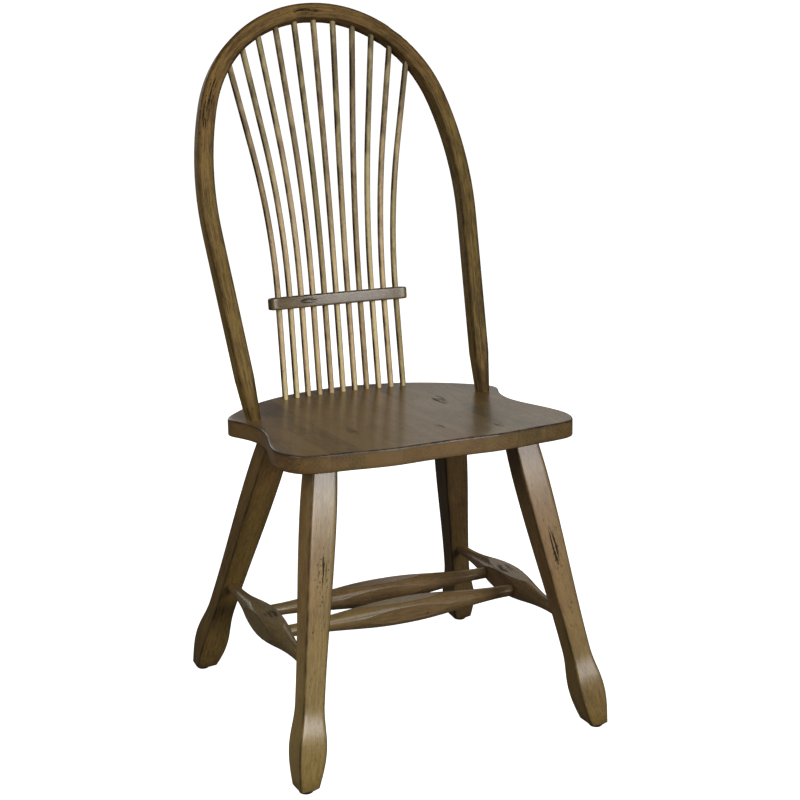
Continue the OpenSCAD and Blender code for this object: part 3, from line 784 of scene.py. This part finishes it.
class Nodes:
    """Short hand for a material's nodes."""

    def __init__(self, name):
        self.material = bpy.data.materials.new(name)
        self.material.use_nodes = True
        self.tree = self.material.node_tree
        self.shader = self.tree.nodes["Principled BSDF"]

    def put(self, socket, value):
        """Links a node's output to a socket, or sets the socket to a number or a colour."""
        if isinstance(value, bpy.types.NodeSocket):
            self.tree.links.new(value, socket)
        elif isinstance(value, tuple) and socket.type == "RGBA":
            socket.default_value = (*value, 1.0)
        else:
            socket.default_value = value

    def add(self, kind, inputs, **settings):
        node = self.tree.nodes.new(kind)
        for key, value in settings.items():
            setattr(node, key, value)
        for key, value in inputs.items():
            self.put(node.inputs[key], value)
        return node

    def attribute(self, name, output):
        return self.add("ShaderNodeAttribute", {}, attribute_name=name).outputs[output]

    def math(self, operation, a, b=0.0, c=0.0):
        return self.add("ShaderNodeMath", {0: a, 1: b, 2: c}, operation=operation).outputs[0]

    def scaled(self, vector, factors):
        return self.add("ShaderNodeVectorMath", {0: vector, 1: factors}, operation="MULTIPLY").outputs[0]

    def noise(self, vector, scale, detail=2.0, roughness=0.5):
        place = self.scaled(vector, scale)
        inputs = {"Vector": place, "Scale": 1.0, "Detail": detail, "Roughness": roughness}
        return self.add("ShaderNodeTexNoise", inputs).outputs["Fac"]

    def spots(self, vector, scale):
        """Distance to the nearest of some scattered points, and that point's own random number."""
        node = self.add("ShaderNodeTexVoronoi", {"Vector": self.scaled(vector, scale), "Scale": 1.0})
        return node.outputs["Distance"], node.outputs["Color"]

    def step(self, value, low, high):
        """Runs smoothly from 0 at one limit to 1 at the other."""
        inputs = {"Value": value, "From Min": low, "From Max": high}
        return self.add("ShaderNodeMapRange", inputs, interpolation_type="SMOOTHSTEP").outputs["Result"]

    def mix(self, share, a, b):
        node = self.tree.nodes.new("ShaderNodeMix")
        node.data_type = "RGBA"
        self.put(node.inputs["Factor"], share)
        colours = [i for i in node.inputs if i.type == "RGBA"]
        self.put(colours[0], a)
        self.put(colours[1], b)
        return next(o for o in node.outputs if o.type == "RGBA")

    def bump(self, height, distance, strength=1.0):
        inputs = {"Height": height, "Distance": distance, "Strength": strength}
        return self.add("ShaderNodeBump", inputs).outputs["Normal"]

    def set(self, values):
        for key, value in values.items():
            self.put(self.shader.inputs[key], value)


def shaded(colour, factors):
    return tuple(c * f for c, f in zip(colour, factors))


WARM = (1.04, 0.98, 0.98)
OLIVE = (0.97, 1.01, 0.90)


def wood(name, pale, deep, tones=0.9, streaks=0.5, flecks=0.8, roughness=0.55, specular=0.25, coat=0.3):
    """Stained wood: clouds, growth rings, fibres, pores, flecks, glazed arrises, worn marks, and painted
    shade on the spindles' sides and upper part.

    Pale and deep are the stain's two ends. Each noise has its scale per metre, twice across the fibres
    and once along them."""
    n = Nodes(name)
    grain = n.attribute("grain", "Vector")
    # nearness to an arris, and on the spindles their painted shade
    edge = n.attribute("edge", "Fac")
    wear = n.attribute("wear", "Fac")

    own_tone = n.noise(grain, (3.0, 3.0, 0.9), 1.0)
    clouds = n.noise(grain, (16.0, 16.0, 6.0), 3.0)
    mottle = n.noise(grain, (60.0, 60.0, 26.0), 3.0, 0.6)
    fibre = n.noise(grain, (640.0, 640.0, 70.0), 4.0, 0.65)
    strands = n.noise(grain, (380.0, 380.0, 20.0), 3.0, 0.6)
    ring_inputs = {"Vector": n.scaled(grain, (1.0, 1.0, 0.05)), "Scale": 62.0, "Distortion": 3.0,
                   "Detail": 2.0, "Detail Scale": 0.6, "Detail Roughness": 0.6}
    rings = n.add("ShaderNodeTexWave", ring_inputs, wave_type="RINGS", rings_direction="Z").outputs["Fac"]
    shade = 0.42
    shares = ((own_tone, tones), (clouds, 1.0), (mottle, 0.9), (fibre, 1.6), (strands, streaks), (rings, 0.1))
    for part, share in shares:
        shade = n.math("MULTIPLY_ADD", n.math("SUBTRACT", part, 0.5), share, shade)
    tint = n.step(n.noise(grain, (5.0, 5.0, 2.0), 2.0), 0.42, 0.58)
    light = n.mix(tint, shaded(pale, WARM), shaded(pale, OLIVE))
    dark = n.mix(tint, shaded(deep, WARM), shaded(deep, OLIVE))
    colour = n.mix(n.step(shade, 0.0, 1.0), light, dark)

    pores = n.step(n.noise(grain, (760.0, 760.0, 150.0), 2.0), 0.64, 0.71)
    colour = n.mix(n.math("MULTIPLY", pores, 0.5), colour, GLAZE_AND_PAINTED_SHADE)

    near, own = n.spots(grain, (75.0, 75.0, 48.0))
    fleck = n.math("MULTIPLY", n.step(near, 0.12, 0.05), n.step(own, 0.80, 0.82))
    near, own = n.spots(grain, (260.0, 260.0, 150.0))
    dotted = n.math("MULTIPLY", n.step(near, 0.30, 0.20), n.step(n.math("MULTIPLY", own, wear), 0.14, 0.17))
    fleck = n.math("MAXIMUM", fleck, dotted)
    colour = n.mix(n.math("MULTIPLY", fleck, flecks), colour, GLAZE_AND_PAINTED_SHADE)

    # The arris attribute darkens toward the glaze colour: real glaze on the arrises, and painted shade on the
    # spindles' sides and upper part.
    patchy = n.step(n.noise(grain, (90.0, 90.0, 30.0), 3.0), 0.38, 0.62)
    rubbed_glaze_and_painted_shade = n.math("MULTIPLY", edge, n.math("MULTIPLY_ADD", patchy, 0.4, 0.55))
    colour = n.mix(rubbed_glaze_and_painted_shade, colour, GLAZE_AND_PAINTED_SHADE)

    scratches = n.step(n.noise(grain, (430.0, 430.0, 22.0), 3.0, 0.6), 0.49, 0.53)
    worn = n.math("MULTIPLY", scratches, n.step(wear, 0.42, 0.66))
    colour = n.mix(n.math("MULTIPLY", worn, 0.96), colour, GLAZE_AND_PAINTED_SHADE)

    uneven = n.noise(grain, (40.0, 40.0, 12.0), 3.0)
    rough = n.math("MULTIPLY_ADD", n.math("SUBTRACT", uneven, 0.5), 0.2, roughness)
    rough = n.math("MULTIPLY_ADD", n.math("MAXIMUM", pores, worn), 0.2, rough)
    height = n.math("MULTIPLY_ADD", fibre, 0.5, n.math("MULTIPLY", pores, -0.6))
    height = n.math("MULTIPLY_ADD", worn, -1.5, height)
    height = n.math("MULTIPLY_ADD", n.noise(grain, (55.0, 55.0, 18.0), 2.0), 1.2, height)
    n.set({"Base Color": colour, "Roughness": rough, "Specular IOR Level": specular,
           "Coat Weight": n.math("MULTIPLY_ADD", worn, -coat, coat) if coat else 0.0, "Coat Roughness": 0.2,
           "Normal": n.bump(height, 0.12 * MM, 0.8)})
    return n.material


def metal_or_plastic(name, colour, roughness, metallic):
    """Moulded or turned stock with a fine unevenness."""
    n = Nodes(name)
    place = n.add("ShaderNodeTexCoord", {}).outputs["Object"]
    cloudy = n.noise(place, (220.0, 220.0, 220.0), 4.0)
    tone = n.step(cloudy, 0.3, 0.7)
    darker = tuple(0.6 * c for c in colour)
    rough = n.math("MULTIPLY_ADD", cloudy, 0.2, roughness - 0.1)
    n.set({"Base Color": n.mix(tone, darker, colour), "Roughness": rough, "Metallic": metallic,
           "Normal": n.bump(n.noise(place, (1800.0, 1800.0, 1800.0), 3.0), 0.05 * MM)})
    return n.material


leg_oak = wood("leg_oak", (0.40, 0.258, 0.088), (0.21, 0.126, 0.037), coat=0.5)
right_leg_oak = wood("right_leg_oak", (0.32, 0.198, 0.067), (0.165, 0.096, 0.028), coat=0.35)
dark_oak = wood("dark_oak", (0.23, 0.148, 0.057), (0.11, 0.067, 0.024), coat=0.5)
# Painted shade: the rear legs get darker copies of the legs' stain, the right one darkest, standing in for
# the shade they lie in under the seat.
left_rear_oak = wood("left_rear_oak", (0.25, 0.150, 0.045), (0.12, 0.067, 0.018))
painted_shade_right_rear_oak = wood("painted_shade_right_rear_oak", (0.15, 0.092, 0.031), (0.075, 0.043, 0.013))
bow_oak = wood("bow_oak", (0.25, 0.155, 0.045), (0.078, 0.046, 0.014), streaks=1.5, specular=0.12, coat=0.0)
spindle_oak = wood("spindle_oak", (0.84, 0.66, 0.37), (0.40, 0.285, 0.145), tones=1.7, flecks=0.0,
                   specular=0.15, coat=0.0)
seat_oak = wood("seat_oak", (0.215, 0.130, 0.045), (0.090, 0.053, 0.018), tones=2.0, roughness=0.38,
                specular=0.4, coat=0.25)
glide_black = metal_or_plastic("glide_black", (0.035, 0.032, 0.03), 0.5, 0.0)
steel = metal_or_plastic("steel", (0.55, 0.55, 0.56), 0.35, 1.0)


# Floor and light

def softbox(name, aim_z, azimuth, rise, distance, size, power, colour=(1.0, 1.0, 1.0)):
    """A rectangular light aimed at a height over the middle, from degrees right of the front and up."""
    data = bpy.data.lights.new(name, "AREA")
    data.shape = "RECTANGLE"
    data.size, data.size_y = size
    data.energy = power
    data.color = colour
    turn, lift = math.radians(azimuth), math.radians(rise)
    way = Vector((math.sin(turn) * math.cos(lift), -math.cos(turn) * math.cos(lift), math.sin(lift)))
    lamp = bpy.data.objects.new(name, data)
    lamp.location = Vector((0.0, 0.0, aim_z)) + way * distance
    lamp.rotation_euler = way.to_track_quat("Z", "Y").to_euler()
    bpy.context.scene.collection.objects.link(lamp)


FLOOR_HALF = 150.0
FLOOR_SEEN = (0.8, 0.8, 0.8)
FLOOR_UNSEEN = (0.16, 0.16, 0.16)
PALE = 1.0
DIM = 0.08


def seen_and_unseen(tree, seen, unseen):
    """One value where the camera looks straight at a surface, and another where light meets it."""
    ray = tree.nodes.new("ShaderNodeLightPath")
    value = tree.nodes.new("ShaderNodeMapRange")
    value.inputs["To Min"].default_value = unseen
    value.inputs["To Max"].default_value = seen
    tree.links.new(ray.outputs["Is Camera Ray"], value.inputs["Value"])
    return value.outputs["Result"]


def floor():
    """A pale floor that reaches past the frame, with soft shadows and little bounce."""
    mesh = bpy.data.meshes.new("floor")
    h = FLOOR_HALF
    mesh.from_pydata([(-h, -h, 0), (h, -h, 0), (h, h, 0), (-h, h, 0)], [], [(0, 1, 2, 3)])
    piece = bpy.data.objects.new("floor", mesh)
    n = Nodes("floor")
    shade = n.mix(seen_and_unseen(n.tree, 1.0, 0.0), FLOOR_UNSEEN, FLOOR_SEEN)
    n.set({"Base Color": shade, "Roughness": 1.0, "Specular IOR Level": 0.0,
           "Emission Color": (1.0, 1.0, 1.0), "Emission Strength": seen_and_unseen(n.tree, PALE, 0.0)})
    mesh.materials.append(n.material)
    bpy.context.scene.collection.objects.link(piece)


def world():
    """Pale where it is looked at, and dim as a light."""
    made = bpy.data.worlds.new("studio")
    made.use_nodes = True
    tree = made.node_tree
    back = tree.nodes["Background"]
    back.inputs["Color"].default_value = (1.0, 1.0, 1.0, 1.0)
    tree.links.new(seen_and_unseen(tree, PALE, DIM), back.inputs["Strength"])
    bpy.context.scene.world = made


floor()
world()
softbox("key", 0.45, 21.0, 12.5, 5.2, (1.7, 1.0), 100.0, (0.99, 1.0, 1.02))
softbox("high", 0.45, 12.0, 40.0, 2.5, (1.2, 1.0), 17.5)
softbox("left", 0.55, -75.0, 20.0, 1.3, (0.9, 0.7), 5.2)
softbox("back", 0.45, 135.0, 21.0, 2.2, (1.6, 1.0), 4.2, (1.0, 0.96, 0.88))
softbox("rear", 0.6, 184.0, 9.0, 2.5, (1.4, 1.2), 8.0)

# Finishes, by how a piece's name starts

# The rear legs take the darker copies that carry painted shade.
FINISH = {"leg_front_left": leg_oak, "leg_front_right": right_leg_oak, "leg_rear_left": left_rear_oak,
          "leg_rear_right": painted_shade_right_rear_oak, "stretcher": dark_oak, "bow": bow_oak, "band": dark_oak,
          "spindle": spindle_oak, "seat": seat_oak}
for piece in bpy.context.scene.objects:
    if piece.type == "MESH" and piece.name.endswith("_wood"):
        finish = next(oak for start, oak in FINISH.items() if piece.name.startswith(start))
        piece.data.materials.append(finish)
for name, node in frame["nodes"].items():
    if name.startswith("glide_") or name == "bow_screws":
        node.data.materials.clear()
        node.data.materials.append(steel if name in ("glide_nails", "bow_screws") else glide_black)

bpy.context.scene.view_settings.view_transform = "Standard"
